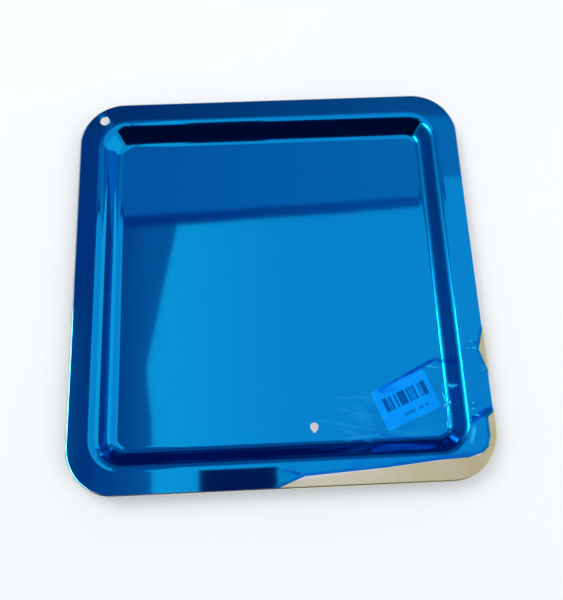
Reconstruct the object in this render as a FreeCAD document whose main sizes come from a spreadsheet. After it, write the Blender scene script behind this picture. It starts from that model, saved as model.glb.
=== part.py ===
import FreeCAD, Part

import math
import os

import Sketcher
from FreeCAD import Vector

# A shallow square pan, pressed from one sheet of steel, under a peel-off film.
#
# The origin is the middle of the pan's underside: +Z is up, out of the open
# recess, and the sides lie along X and Y. The hanging hole is in the corner at
# -X +Y, and the film is torn back at the corner at +X -Y. Lengths are in mm.

DIMENSIONS = {
    # The pan in plan
    "side": 250.0,              # outside width of the square
    "corner_radius": 29.0,      # outside corner
    "flange_width": 12.8,       # from the outside to where the wall starts to turn down
    "crest_corner": 20.2,       # corner of the line where the wall starts to turn down
    "wall_run": 14.6,           # width in plan of the S-shaped wall
    # The pan in section
    "gauge": 0.6,               # thickness of the steel
    "depth": 10.2,              # from the flange's top face to the floor's
    "crest_radius": 7.0,        # top face, flange into wall
    "root_radius": 7.0,         # top face, wall into floor
    "rim_radius": 1.2,          # outside of the bent-down rim
    "rim_height": 2.5,          # from the flange's top face to the rim's cut edge
    # The hanging hole
    "hole_radius": 3.0,
    "hole_x": 109.0,            # to the left of the middle
    "hole_y": 112.8,            # beyond the middle
    # The film
    "film_gap": 0.15,           # stand-off above the steel, room for the label
    "film_gauge": 0.1,
    "film_hole_radius": 3.2,
    "tear_x": 19.5,             # torn hole over the floor, right of the middle
    "tear_y": 91.0,             # nearer than the middle
    "tear_radius": 2.5,         # its round end
    "tear_tip_radius": 1.1,     # its narrow end
    "tear_length": 2.4,         # between the centres of its two ends
    # The paper label
    "label_width": 36.0,
    "label_height": 25.0,
    "label_gauge": 0.1,
    "label_corner": 1.5,
    "label_x": 75.8,
    "label_y": -77.4,
    "label_turn": 22.0,         # degrees, its long side rising to the right
}

# Heights and half-widths that several pieces share, as spreadsheet expressions.
FLANGE_TOP = "sizes.gauge + sizes.depth"
FLANGE_EDGE = "sizes.side / 2 - sizes.rim_radius"
FLANGE_EDGE_CORNER = "sizes.corner_radius - sizes.rim_radius"
CREST_LINE = "sizes.side / 2 - sizes.flange_width"
ROOT_LINE = "sizes.side / 2 - sizes.flange_width - sizes.wall_run"
ROOT_CORNER = "sizes.crest_corner - sizes.wall_run"
FILM_TOP = "(sizes.film_gap + sizes.film_gauge)"

# The torn edge of the film at the near-right corner, in plan. The notch is bare
# steel on the right flange; the corner patch is bare along the near flange.
# Both run out past the pan's edge, at 127 mm.
NOTCH = [(127, -36), (123.8, -38), (120, -50), (123.8, -63), (127, -66)]
CORNER_PATCH = [
    (127, -85.5), (123.4, -87.5), (120.3, -90), (120.2, -100.5), (118.3, -106.6), (114.8, -109.6),
    (106.5, -112), (88.5, -112.8), (59, -115.5), (12, -118.2), (-3.5, -124), (-5, -127), (127, -127),
]


def add_sizes(doc):
    """Write the driving dimensions into the document's spreadsheet."""
    sizes = doc.addObject("Spreadsheet::Sheet", "sizes")
    for row, (alias, value) in enumerate(DIMENSIONS.items(), start=1):
        sizes.set(f"A{row}", alias)
        sizes.set(f"B{row}", str(value))
        sizes.setAlias(f"B{row}", alias)
    doc.recompute()


def add_body(doc, name):
    """Add an empty body whose label names the piece."""
    body = doc.addObject("PartDesign::Body", name)
    body.Label = name
    body.Placement = FreeCAD.Placement()
    return body


def add_sketch(body, name, role, height=None):
    """Attach an empty sketch to one of the body's own planes, raised by an expression."""
    sketch = body.newObject("Sketcher::SketchObject", name)
    plane = next(face for face in body.Origin.OriginFeatures if face.Role == role)
    sketch.AttachmentSupport = [(plane, "")]
    sketch.MapMode = "FlatFace"
    if height:
        sketch.setExpression("AttachmentOffset.Base.z", height)
    return sketch


def drive(sketch, name, constraint, expression):
    """Add a named dimension to a sketch and bind it to an expression."""
    index = sketch.addConstraint(constraint)
    sketch.renameConstraint(index, name)
    sketch.setExpression(f"Constraints.{name}", expression)


def evaluate(doc, expression):
    """Return the present value of an expression in the spreadsheet's sizes."""
    return float(doc.getObject("sizes").evalExpression(expression))


def draw_rounded_square(sketch, name, half, corner):
    """Draw a square with round corners about the origin, from the middle of its +X side round to it."""
    reach = evaluate(sketch.Document, half)
    radius = evaluate(sketch.Document, corner)
    inner = reach - radius
    start = sketch.GeometryCount
    edges = []
    seam = Vector(reach, 0, 0)
    here = seam
    for quarter in range(4):
        turn = math.radians(90 * quarter)
        spin = FreeCAD.Rotation(Vector(0, 0, 1), 90 * quarter)
        straight_end = spin.multVec(Vector(reach, inner, 0))
        centre = spin.multVec(Vector(inner, inner, 0))
        edges.append(Part.LineSegment(here, straight_end))
        circle = Part.Circle(centre, Vector(0, 0, 1), radius)
        edges.append(Part.ArcOfCircle(circle, turn, turn + math.pi / 2))
        here = spin.multVec(Vector(inner, reach, 0))
    edges.append(Part.LineSegment(here, seam))
    sketch.addGeometry(edges, False)

    last = start + len(edges) - 1
    for line in range(start, last, 2):
        sketch.addConstraint(Sketcher.Constraint("Tangent", line, 2, line + 1, 1))
        sketch.addConstraint(Sketcher.Constraint("Tangent", line + 1, 2, line + 2, 1))
    sketch.addConstraint(Sketcher.Constraint("Coincident", last, 2, start, 1))
    for line in (start, start + 4, last):
        sketch.addConstraint(Sketcher.Constraint("Vertical", line))
    for line in (start + 2, start + 6):
        sketch.addConstraint(Sketcher.Constraint("Horizontal", line))
    for arc in (start + 3, start + 5, start + 7):
        sketch.addConstraint(Sketcher.Constraint("Equal", start + 1, arc))
    sketch.addConstraint(Sketcher.Constraint("PointOnObject", start, 1, -1))
    sketch.addConstraint(Sketcher.Constraint("Symmetric", start + 1, 3, start + 5, 3, -1, 1))
    drive(sketch, f"{name}_corner", Sketcher.Constraint("Radius", start + 1, radius), corner)
    across = Sketcher.Constraint("DistanceX", -1, 1, start, 1, reach)
    drive(sketch, f"{name}_across", across, half)
    along = Sketcher.Constraint("DistanceY", -1, 1, start + 2, 1, reach)
    drive(sketch, f"{name}_along", along, half)


def draw_wall(sketch, lower, upper):
    """Draw the section of the S-shaped wall between two offsets from the steel's top face."""
    doc = sketch.Document
    crest_centre = Vector(evaluate(doc, CREST_LINE), evaluate(doc, f"{FLANGE_TOP} - sizes.crest_radius"), 0)
    root_centre = Vector(evaluate(doc, ROOT_LINE), evaluate(doc, "sizes.gauge + sizes.root_radius"), 0)
    radii = evaluate(doc, "sizes.crest_radius + sizes.root_radius")
    span = crest_centre - root_centre
    # The wall's straight part is a common inner tangent of the crest and root circles.
    slope = math.asin(radii / span.Length) - math.atan2(-span.y, span.x)
    for offset in (lower, upper):
        rise = evaluate(doc, offset)
        crest = Part.Circle(crest_centre, Vector(0, 0, 1), evaluate(doc, "sizes.crest_radius") + rise)
        root = Part.Circle(root_centre, Vector(0, 0, 1), evaluate(doc, "sizes.root_radius") - rise)
        crest_arc = Part.ArcOfCircle(crest, math.pi / 2, math.pi / 2 + slope)
        root_arc = Part.ArcOfCircle(root, -math.pi / 2, -math.pi / 2 + slope)
        straight = Part.LineSegment(crest_arc.EndPoint, root_arc.EndPoint)
        sketch.addGeometry([crest_arc, straight, root_arc], False)
    sketch.addGeometry(
        [
            Part.LineSegment(sketch.Geometry[0].StartPoint, sketch.Geometry[3].StartPoint),
            Part.LineSegment(sketch.Geometry[2].StartPoint, sketch.Geometry[5].StartPoint),
        ],
        False,
    )
    for crest_arc, line, root_arc in ((0, 1, 2), (3, 4, 5)):
        sketch.addConstraint(Sketcher.Constraint("Tangent", crest_arc, 2, line, 1))
        sketch.addConstraint(Sketcher.Constraint("Tangent", line, 2, root_arc, 2))
    for end, inner_arc, outer_arc in ((6, 0, 3), (7, 2, 5)):
        sketch.addConstraint(Sketcher.Constraint("Coincident", end, 1, inner_arc, 1))
        sketch.addConstraint(Sketcher.Constraint("Coincident", end, 2, outer_arc, 1))
        sketch.addConstraint(Sketcher.Constraint("Coincident", inner_arc, 3, outer_arc, 3))
        sketch.addConstraint(Sketcher.Constraint("Vertical", end))
        sketch.addConstraint(Sketcher.Constraint("Vertical", inner_arc, 3, end, 1))
    for arc, name, expression in (
        (0, "crest_under", f"sizes.crest_radius + {lower}"),
        (3, "crest_over", f"sizes.crest_radius + {upper}"),
        (2, "root_under", f"sizes.root_radius - {lower}"),
        (5, "root_over", f"sizes.root_radius - {upper}"),
    ):
        value = evaluate(doc, expression)
        drive(sketch, name, Sketcher.Constraint("Radius", arc, value), expression)
    for arc, name, centre, across, up in (
        (0, "crest", crest_centre, CREST_LINE, f"{FLANGE_TOP} - sizes.crest_radius"),
        (2, "root", root_centre, ROOT_LINE, "sizes.gauge + sizes.root_radius"),
    ):
        drive(sketch, f"{name}_across", Sketcher.Constraint("DistanceX", -1, 1, arc, 3, centre.x), across)
        drive(sketch, f"{name}_up", Sketcher.Constraint("DistanceY", -1, 1, arc, 3, centre.y), up)


def draw_rim(sketch):
    """Draw the section of the bent-down rim."""
    doc = sketch.Document
    centre_up = f"{FLANGE_TOP} - sizes.rim_radius"
    foot_up = f"{FLANGE_TOP} - sizes.rim_height"
    centre = Vector(evaluate(doc, FLANGE_EDGE), evaluate(doc, centre_up), 0)
    outside = evaluate(doc, "sizes.rim_radius")
    inside = evaluate(doc, "sizes.rim_radius - sizes.gauge")
    foot = evaluate(doc, foot_up)
    outer_arc = Part.ArcOfCircle(Part.Circle(centre, Vector(0, 0, 1), outside), 0, math.pi / 2)
    inner_arc = Part.ArcOfCircle(Part.Circle(centre, Vector(0, 0, 1), inside), 0, math.pi / 2)
    outer_foot = Vector(centre.x + outside, foot, 0)
    inner_foot = Vector(centre.x + inside, foot, 0)
    sketch.addGeometry(
        [
            outer_arc,
            inner_arc,
            Part.LineSegment(inner_arc.EndPoint, outer_arc.EndPoint),
            Part.LineSegment(outer_foot, outer_arc.StartPoint),
            Part.LineSegment(inner_foot, inner_arc.StartPoint),
            Part.LineSegment(inner_foot, outer_foot),
        ],
        False,
    )
    sketch.addConstraint(Sketcher.Constraint("Coincident", 0, 3, 1, 3))
    sketch.addConstraint(Sketcher.Constraint("Coincident", 2, 1, 1, 2))
    sketch.addConstraint(Sketcher.Constraint("Coincident", 2, 2, 0, 2))
    sketch.addConstraint(Sketcher.Constraint("Vertical", 2))
    sketch.addConstraint(Sketcher.Constraint("Vertical", 2, 1, 0, 3))
    sketch.addConstraint(Sketcher.Constraint("Tangent", 3, 2, 0, 1))
    sketch.addConstraint(Sketcher.Constraint("Tangent", 4, 2, 1, 1))
    sketch.addConstraint(Sketcher.Constraint("Vertical", 3))
    sketch.addConstraint(Sketcher.Constraint("Vertical", 4))
    sketch.addConstraint(Sketcher.Constraint("Coincident", 5, 1, 4, 1))
    sketch.addConstraint(Sketcher.Constraint("Coincident", 5, 2, 3, 1))
    sketch.addConstraint(Sketcher.Constraint("Horizontal", 5))
    drive(sketch, "outside", Sketcher.Constraint("Radius", 0, outside), "sizes.rim_radius")
    drive(sketch, "inside", Sketcher.Constraint("Radius", 1, inside), "sizes.rim_radius - sizes.gauge")
    drive(sketch, "across", Sketcher.Constraint("DistanceX", -1, 1, 0, 3, centre.x), FLANGE_EDGE)
    drive(sketch, "up", Sketcher.Constraint("DistanceY", -1, 1, 0, 3, centre.y), centre_up)
    drive(sketch, "foot", Sketcher.Constraint("DistanceY", -1, 1, 5, 1, foot), foot_up)


def draw_circle(sketch, name, radius, left, beyond):
    """Draw a round hole to the left of and beyond the origin."""
    doc = sketch.Document
    size = evaluate(doc, radius)
    centre = Vector(-evaluate(doc, left), evaluate(doc, beyond), 0)
    hole = sketch.addGeometry(Part.Circle(centre, Vector(0, 0, 1), size), False)
    drive(sketch, f"{name}_radius", Sketcher.Constraint("Radius", hole, size), radius)
    drive(sketch, f"{name}_left", Sketcher.Constraint("DistanceX", hole, 3, -1, 1, -centre.x), left)
    drive(sketch, f"{name}_beyond", Sketcher.Constraint("DistanceY", -1, 1, hole, 3, centre.y), beyond)


def draw_tear(sketch):
    """Draw the small torn hole over the floor: egg-shaped, its narrow end towards -Y."""
    doc = sketch.Document
    wide = evaluate(doc, "sizes.tear_radius")
    narrow = evaluate(doc, "sizes.tear_tip_radius")
    length = evaluate(doc, "sizes.tear_length")
    middle = Vector(evaluate(doc, "sizes.tear_x"), -evaluate(doc, "sizes.tear_y"), 0)
    tip = middle - Vector(0, length, 0)
    lean = math.asin((wide - narrow) / length)
    wide_end = Part.Circle(middle, Vector(0, 0, 1), wide)
    narrow_end = Part.Circle(tip, Vector(0, 0, 1), narrow)
    top = Part.ArcOfCircle(wide_end, -lean, math.pi + lean)
    foot = Part.ArcOfCircle(narrow_end, math.pi + lean, 2 * math.pi - lean)
    first = sketch.addGeometry(
        [
            top,
            Part.LineSegment(top.EndPoint, foot.StartPoint),
            foot,
            Part.LineSegment(foot.EndPoint, top.StartPoint),
        ],
        False,
    )[0]
    for edge in range(3):
        sketch.addConstraint(Sketcher.Constraint("Tangent", first + edge, 2, first + edge + 1, 1))
    sketch.addConstraint(Sketcher.Constraint("Tangent", first + 3, 2, first, 1))
    sketch.addConstraint(Sketcher.Constraint("Vertical", first, 3, first + 2, 3))
    drive(sketch, "tear_wide", Sketcher.Constraint("Radius", first, wide), "sizes.tear_radius")
    drive(sketch, "tear_narrow", Sketcher.Constraint("Radius", first + 2, narrow), "sizes.tear_tip_radius")
    across = Sketcher.Constraint("DistanceX", -1, 1, first, 3, middle.x)
    drive(sketch, "tear_across", across, "sizes.tear_x")
    nearer = Sketcher.Constraint("DistanceY", first, 3, -1, 1, -middle.y)
    drive(sketch, "tear_nearer", nearer, "sizes.tear_y")
    reach = Sketcher.Constraint("DistanceY", first + 2, 3, first, 3, length)
    drive(sketch, "tear_reach", reach, "sizes.tear_length")


def draw_outline(sketch, points):
    """Draw a closed outline of straight edges through fixed points."""
    corners = [Vector(x, y, 0) for x, y in points]
    for corner, following in zip(corners, corners[1:] + corners[:1]):
        edge = sketch.addGeometry(Part.LineSegment(corner, following), False)
        sketch.addConstraint(Sketcher.Constraint("Block", edge))


def add_pad(body, name, sketch, length):
    """Thicken a sketch upwards."""
    pad = body.newObject("PartDesign::Pad", name)
    pad.Profile = sketch
    pad.setExpression("Length", length)
    body.Document.recompute()


def add_pipe(body, name, profile, spine):
    """Sweep a section once round a closed spine."""
    pipe = body.newObject("PartDesign::AdditivePipe", name)
    pipe.Profile = profile
    pipe.Spine = (spine, [f"Edge{index + 1}" for index in range(spine.GeometryCount)])
    body.Document.recompute()


def add_cut(body, name, sketch):
    """Cut a sketch right through the sheet, and make sure that it cut something."""
    before = body.Shape.Volume
    pocket = body.newObject("PartDesign::Pocket", name)
    pocket.Profile = sketch
    pocket.Type = "ThroughAll"
    pocket.Midplane = True
    body.Document.recompute()
    if not body.Shape.Volume < before:
        raise RuntimeError(f"{name} cuts nothing from {body.Label}")


def add_pressed_sheet(body, lower, upper):
    """Build flange, wall and floor of a pressed sheet between two offsets from the steel's top face."""
    thickness = f"({upper}) - ({lower})"
    flange = add_sketch(body, f"{body.Name}_flange_outline", "XY_Plane", f"{FLANGE_TOP} + {lower}")
    draw_rounded_square(flange, "edge", FLANGE_EDGE, FLANGE_EDGE_CORNER)
    draw_rounded_square(flange, "crest", CREST_LINE, "sizes.crest_corner")
    add_pad(body, f"{body.Name}_flange", flange, thickness)

    crest_line = add_sketch(body, f"{body.Name}_crest_line", "XY_Plane")
    draw_rounded_square(crest_line, "crest", CREST_LINE, "sizes.crest_corner")
    wall = add_sketch(body, f"{body.Name}_wall_section", "XZ_Plane")
    draw_wall(wall, lower, upper)
    add_pipe(body, f"{body.Name}_wall", wall, crest_line)

    floor = add_sketch(body, f"{body.Name}_floor_outline", "XY_Plane", f"sizes.gauge + {lower}")
    draw_rounded_square(floor, "root", ROOT_LINE, ROOT_CORNER)
    add_pad(body, f"{body.Name}_floor", floor, thickness)


def make_pan(doc):
    """The pressed steel pan, with its bent-down rim and hanging hole."""
    body = add_body(doc, "pan")
    add_pressed_sheet(body, "(-sizes.gauge)", "0 * sizes.gauge")
    rim_line = add_sketch(body, "pan_rim_line", "XY_Plane")
    draw_rounded_square(rim_line, "rim", FLANGE_EDGE, FLANGE_EDGE_CORNER)
    rim = add_sketch(body, "pan_rim_section", "XZ_Plane")
    draw_rim(rim)
    add_pipe(body, "pan_rim", rim, rim_line)
    hole = add_sketch(body, "pan_hole_outline", "XY_Plane")
    draw_circle(hole, "hole", "sizes.hole_radius", "sizes.hole_x", "sizes.hole_y")
    add_cut(body, "pan_hole", hole)
    return body


def make_film(doc):
    """The peel-off film over the pan's top face, with its torn edge and holes."""
    body = add_body(doc, "protective_film")
    add_pressed_sheet(body, "sizes.film_gap", FILM_TOP)
    openings = add_sketch(body, "film_openings", "XY_Plane")
    draw_circle(openings, "hole", "sizes.film_hole_radius", "sizes.hole_x", "sizes.hole_y")
    draw_tear(openings)
    add_cut(body, "film_holes", openings)
    torn = add_sketch(body, "film_torn_edges", "XY_Plane")
    draw_outline(torn, NOTCH)
    draw_outline(torn, CORNER_PATCH)
    add_cut(body, "film_torn", torn)
    return body


def make_label(doc):
    """The paper label, flat on the floor under the film."""
    body = add_body(doc, "barcode_label")
    outline = add_sketch(body, "label_outline", "XY_Plane")
    width = evaluate(doc, "sizes.label_width")
    height = evaluate(doc, "sizes.label_height")
    corners = [
        Vector(-width / 2, -height / 2, 0), Vector(width / 2, -height / 2, 0),
        Vector(width / 2, height / 2, 0), Vector(-width / 2, height / 2, 0),
    ]
    sides = [Part.LineSegment(corners[i], corners[(i + 1) % 4]) for i in range(4)]
    outline.addGeometry(sides, False)
    for side in range(4):
        outline.addConstraint(Sketcher.Constraint("Coincident", side, 2, (side + 1) % 4, 1))
    for side in (0, 2):
        outline.addConstraint(Sketcher.Constraint("Horizontal", side))
    for side in (1, 3):
        outline.addConstraint(Sketcher.Constraint("Vertical", side))
    outline.addConstraint(Sketcher.Constraint("Symmetric", 0, 1, 2, 1, -1, 1))
    drive(outline, "width", Sketcher.Constraint("DistanceX", 0, 1, 0, 2, width), "sizes.label_width")
    drive(outline, "height", Sketcher.Constraint("DistanceY", 1, 1, 1, 2, height), "sizes.label_height")
    add_pad(body, "label_sheet", outline, "sizes.label_gauge")

    corners = body.newObject("PartDesign::Fillet", "label_corners")
    upright = [
        f"Edge{number}"
        for number, edge in enumerate(body.Shape.Edges, start=1)
        if abs(edge.tangentAt(edge.FirstParameter).z) > 0.99
    ]
    corners.Base = (doc.getObject("label_sheet"), upright)
    corners.setExpression("Radius", "sizes.label_corner")
    doc.recompute()

    body.setExpression("Placement.Base.x", "sizes.label_x")
    body.setExpression("Placement.Base.y", "sizes.label_y")
    body.setExpression("Placement.Base.z", "sizes.gauge")
    body.setExpression("Placement.Rotation.Angle", "sizes.label_turn")
    return body


def check(doc, bodies):
    """Stop if any object failed, or any piece isn't one sound solid."""
    for item in doc.Objects:
        if "Invalid" in item.State or "Error" in item.State:
            raise RuntimeError(f"{item.Label} failed: {item.State}")
    for body in bodies:
        shape = body.Shape
        if shape.isNull() or not shape.isValid() or len(shape.Solids) != 1:
            raise RuntimeError(f"{body.Label} isn't one sound solid")
        print(f"{body.Label}: {shape.Volume:.1f} mm3, {shape.BoundBox}")


def main():
    """Build the pan, its film and its label, and write one STEP file for each."""
    doc = FreeCAD.newDocument("mud_pan")
    add_sizes(doc)
    bodies = [make_pan(doc), make_film(doc), make_label(doc)]
    doc.recompute()
    check(doc, bodies)
    os.makedirs("parts", exist_ok=True)
    for body in bodies:
        body.Shape.exportStep(f"parts/{body.Label}.step")


main()
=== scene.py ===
import math

import bpy
from bpy.props import FloatProperty, FloatVectorProperty, PointerProperty, StringProperty
from bpy.types import Operator, Panel, PropertyGroup
from mathutils import Matrix, Vector, noise


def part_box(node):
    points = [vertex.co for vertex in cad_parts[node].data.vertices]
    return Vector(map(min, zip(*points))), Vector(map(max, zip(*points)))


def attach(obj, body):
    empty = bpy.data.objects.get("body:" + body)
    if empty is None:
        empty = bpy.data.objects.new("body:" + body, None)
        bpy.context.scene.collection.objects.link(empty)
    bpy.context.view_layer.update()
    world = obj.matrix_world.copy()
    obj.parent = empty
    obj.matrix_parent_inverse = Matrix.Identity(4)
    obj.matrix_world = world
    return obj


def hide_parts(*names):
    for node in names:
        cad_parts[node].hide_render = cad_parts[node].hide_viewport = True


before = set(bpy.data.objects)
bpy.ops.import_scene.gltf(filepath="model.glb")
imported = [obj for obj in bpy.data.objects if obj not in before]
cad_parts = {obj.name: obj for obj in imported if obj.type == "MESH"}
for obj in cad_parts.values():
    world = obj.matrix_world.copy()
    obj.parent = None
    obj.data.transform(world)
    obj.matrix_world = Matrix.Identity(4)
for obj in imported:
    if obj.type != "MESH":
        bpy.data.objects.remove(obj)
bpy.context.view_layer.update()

bl_info = {
    "name": "Pressed Mud Pan",
    "version": (1, 0, 0),
    "blender": (4, 5, 0),
    "location": "3D View > Sidebar > Mud Pan",
    "description": "Builds a polished steel mud pan under its torn blue protective film",
    "category": "Add Mesh",
}

MM = 0.001
PAN_LOW, PAN_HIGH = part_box("pan")
LABEL_LOW, LABEL_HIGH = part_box("barcode_label")


# Sizes and colours ------------------------------------------------------------


def length(name, description, default):
    """A length property, shown in the scene's units."""
    return FloatProperty(name=name, description=description, default=default, unit="LENGTH")


def angle(name, description, degrees):
    """An angle property, its default given in degrees."""
    return FloatProperty(name=name, description=description, default=math.radians(degrees), subtype="ANGLE")


def colour(name, description, default):
    """A colour property, kept as an sRGB hex value."""
    return StringProperty(name=name, description=description, default=default)


class PanSizes(PropertyGroup):
    """Sizes of the pressed sheet, as its press tool would state them."""

    side: length("Side", "Outside width of the square pan", PAN_HIGH.x - PAN_LOW.x)
    height: length("Height", "Underside of the floor to the flange's top face", PAN_HIGH.z - PAN_LOW.z)
    gauge: length("Gauge", "Thickness of the steel", 0.6 * MM)
    corner_radius: length("Corner radius", "Outside corner in plan", 29 * MM)
    flange_width: length("Flange width", "Outside edge to where the wall turns down", 12.8 * MM)
    crest_corner: length("Crest corner", "Corner in plan where the wall turns down", 20.2 * MM)
    wall_run: length("Wall run", "Width in plan of the S-shaped wall", 14.6 * MM)
    crest_radius: length("Crest radius", "Top face, flange into wall", 7 * MM)
    root_radius: length("Root radius", "Top face, wall into floor", 7 * MM)
    rim_radius: length("Rim radius", "Outside of the bent-down rim", 1.2 * MM)
    rim_height: length("Rim height", "Flange's top face to the rim's cut edge", 2.5 * MM)
    hole_radius: length("Hanging hole", "Radius of the hanging hole", 3 * MM)
    hole_x: length("Hole across", "Middle of the pan to the hole, leftwards", 109 * MM)
    hole_y: length("Hole beyond", "Middle of the pan to the hole, away", 112.8 * MM)


class FilmSizes(PropertyGroup):
    """Sizes of the peel-off film."""

    gap: length("Gap", "Stand-off above the steel", 0.15 * MM)
    gauge: length("Gauge", "Thickness of the film", 0.1 * MM)
    hole_radius: length("Hole", "Radius of the film's hole round the hanging hole", 3.2 * MM)
    tear_radius: length("Tear", "Radius of the round end of the torn hole", 2.5 * MM)
    tear_tip_radius: length("Tear tip", "Radius of the narrow end of the torn hole", 1.1 * MM)
    tear_x: length("Tear across", "Middle of the pan to the torn hole, rightwards", 19.5 * MM)
    tear_y: length("Tear nearer", "Middle of the pan to the torn hole, nearer", 91 * MM)
    tear_length: length("Tear length", "Between the centres of the torn hole's ends", 2.4 * MM)
    fine: length("Fine spacing", "Mesh spacing where the film is wrinkled", 0.8 * MM)
    coarse: length("Coarse spacing", "Mesh spacing where the film lies flat", 6 * MM)
    crumple: length("Crumple", "Height of the small wrinkles in the loose corner", 0.35 * MM)


class Finishes(PropertyGroup):
    """Colours of the steel, the film and the label."""

    steel: colour("Steel", "Clean polished stainless steel", "#E6E6E3")
    # The two glue colours are the bare steel's colour at the left and at the right of the torn corner; the
    # right one is darker and yellower.
    pale_glue: colour("Thin glue", "Steel where little glue is left", "#F4F2C8")
    glue: colour("Thick glue", "Steel dulled by the glue of peeled film", "#CFC591")
    film: colour("Film", "What one surface of the film lets through", "#7CE7FD")
    # The folded-film colour is painted shade: the deeper tint used where the film is marked darker along
    # folds, its torn edge and crumpled facets.
    fold_shade: colour("Folded film", "What one surface of folded film lets through", "#4FC4F6")
    # The creased-film colour is a painted glint: a light cyan diffuse laid along creases and sags.
    crease_glint: colour("Creased film", "Film whitened along a sharp crease", "#2CC6FF")
    haze: colour("Film haze", "Light that the film scatters", "#0A56D8")
    shine: colour("Film shine", "Light that the film's face mirrors", "#3EC8F4")
    paper: colour("Paper", "Blue-white label paper", "#CFE2F6")
    ink: colour("Ink", "Printed bars", "#5E7096")
    floor: colour("Floor", "The pale floor under the pan", "#EDEDEC")


class StageSettings(PropertyGroup):
    """Where the camera stands and how high the overhead cards hang."""

    azimuth: angle("Azimuth", "Camera turned about the pan", -4.46)
    elevation: angle("Elevation", "Camera above the horizon", 75.81)
    roll: angle("Roll", "Camera turned about its own axis", 2.03)
    distance: length("Distance", "Camera to its aim", 335.6 * MM)
    aim: FloatVectorProperty(
        name="Aim",
        description="Point on the flange's plane that the camera aims at",
        default=(3.1 * MM, -14.7 * MM, PAN_HIGH.z),
        subtype="TRANSLATION",
    )
    lens: FloatProperty(
        name="Lens",
        description="Focal length on a 36 mm sensor, in millimetres",
        default=32.85,
    )
    card_height: length("Card height", "Floor to the overhead cards", 1.6)


# Shared helpers ---------------------------------------------------------------


def linear(value):
    """Turn an sRGB hex colour into linear RGBA."""
    parts = [int(value[at:at + 2], 16) / 255 for at in (1, 3, 5)]
    return (*[part / 12.92 if part <= 0.04045 else ((part + 0.055) / 1.055) ** 2.4 for part in parts], 1.0)


def deselect():
    """Leave nothing selected, in object mode."""
    if bpy.context.object and bpy.context.object.mode != "OBJECT":
        bpy.ops.object.mode_set(mode="OBJECT")
    bpy.ops.object.select_all(action="DESELECT")


def activate(piece):
    """Select one piece alone and make it the active one."""
    deselect()
    piece.select_set(True)
    bpy.context.view_layer.objects.active = piece


def name_piece(piece, name):
    """Give a piece and its mesh one name."""
    piece.name = name
    piece.data.name = name


def settle(piece):
    """Bring a piece's place into its mesh."""
    activate(piece)
    bpy.ops.object.transform_apply(location=True, rotation=True, scale=True)


def apply_modifier(piece, kind, **settings):
    """Add a modifier with its settings and apply it."""
    activate(piece)
    bpy.ops.object.modifier_add(type=kind)
    modifier = piece.modifiers[-1]
    for key, value in settings.items():
        setattr(modifier, key, value)
    bpy.ops.object.modifier_apply(modifier=modifier.name)


def cut(piece, cutter):
    """Cut one closed piece out of another and delete the cutter."""
    before = len(piece.data.vertices)
    apply_modifier(piece, "BOOLEAN", object=cutter, operation="DIFFERENCE", solver="EXACT")
    if len(piece.data.vertices) == before:
        raise RuntimeError(f"{cutter.name} cuts nothing from {piece.name}")
    bpy.data.objects.remove(cutter, do_unlink=True)


def select_points(piece, chosen):
    """In edit mode, select the points that pass a test, and nothing else."""
    bpy.ops.mesh.select_mode(type="VERT")
    bpy.ops.mesh.select_all(action="DESELECT")
    bpy.ops.object.mode_set(mode="OBJECT")
    for point in piece.data.vertices:
        point.select = chosen(point.co)
    bpy.ops.object.mode_set(mode="EDIT")


def add_chain(name, points):
    """Draw a chain of edges: one point, extruded from place to place."""
    deselect()
    bpy.ops.mesh.primitive_plane_add(size=MM, location=points[0])
    piece = bpy.context.object
    settle(piece)
    name_piece(piece, name)
    bpy.ops.object.mode_set(mode="EDIT")
    bpy.ops.mesh.select_all(action="SELECT")
    bpy.ops.mesh.merge(type="CENTER")
    for here, there in zip(points, points[1:]):
        bpy.ops.mesh.extrude_region_move(TRANSFORM_OT_translate={"value": there - here})
    return piece


def add_prism(name, outline, low, high):
    """Make a closed upright prism on an outline of (x, y) points."""
    corners = [Vector((x, y, low)) for x, y in outline]
    prism = add_chain(name, corners)
    bpy.ops.mesh.select_all(action="SELECT")
    bpy.ops.mesh.edge_face_add()
    bpy.ops.mesh.extrude_region_move(TRANSFORM_OT_translate={"value": (0, 0, high - low)})
    bpy.ops.mesh.select_all(action="SELECT")
    bpy.ops.mesh.normals_make_consistent(inside=False)
    bpy.ops.object.mode_set(mode="OBJECT")
    return prism


def arc(centre, radius, start, end, steps):
    """Points (across, up) along an arc, both ends included, angles in radians."""
    angles = [start + (end - start) * step / steps for step in range(steps + 1)]
    return [(centre[0] + radius * math.cos(angle), centre[1] + radius * math.sin(angle)) for angle in angles]


def smooth_step(value):
    """Ease from 0 to 1 as value goes from 0 to 1."""
    value = min(max(value, 0.0), 1.0)
    return value * value * (3 - 2 * value)


# The pressed section ----------------------------------------------------------


def crest_line(pan):
    """Half-width in plan where the flange ends and the wall turns down."""
    return pan.side / 2 - pan.flange_width


def crest_centre(pan):
    """Middle of the wall's corner arcs, along X and along Y."""
    return crest_line(pan) - pan.crest_corner


def rim_centre(pan):
    """Middle of the outside corner arcs, along X and along Y."""
    return pan.side / 2 - pan.corner_radius


def wall_section(pan, lift, steps):
    """Points (across, up) from the floor up the S-shaped wall to the flange, lifted off the top face."""
    crest = (crest_line(pan), pan.height - pan.crest_radius)
    root = (crest_line(pan) - pan.wall_run, pan.gauge + pan.root_radius)
    between = math.dist(crest, root)
    slope = math.asin((pan.crest_radius + pan.root_radius) / between)
    slope -= math.atan2(root[1] - crest[1], pan.wall_run)
    root_arc = arc(root, pan.root_radius - lift, -math.pi / 2, -math.pi / 2 + slope, steps)
    crest_arc = arc(crest, pan.crest_radius + lift, math.pi / 2 + slope, math.pi / 2, steps)
    return root_arc + crest_arc


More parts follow.
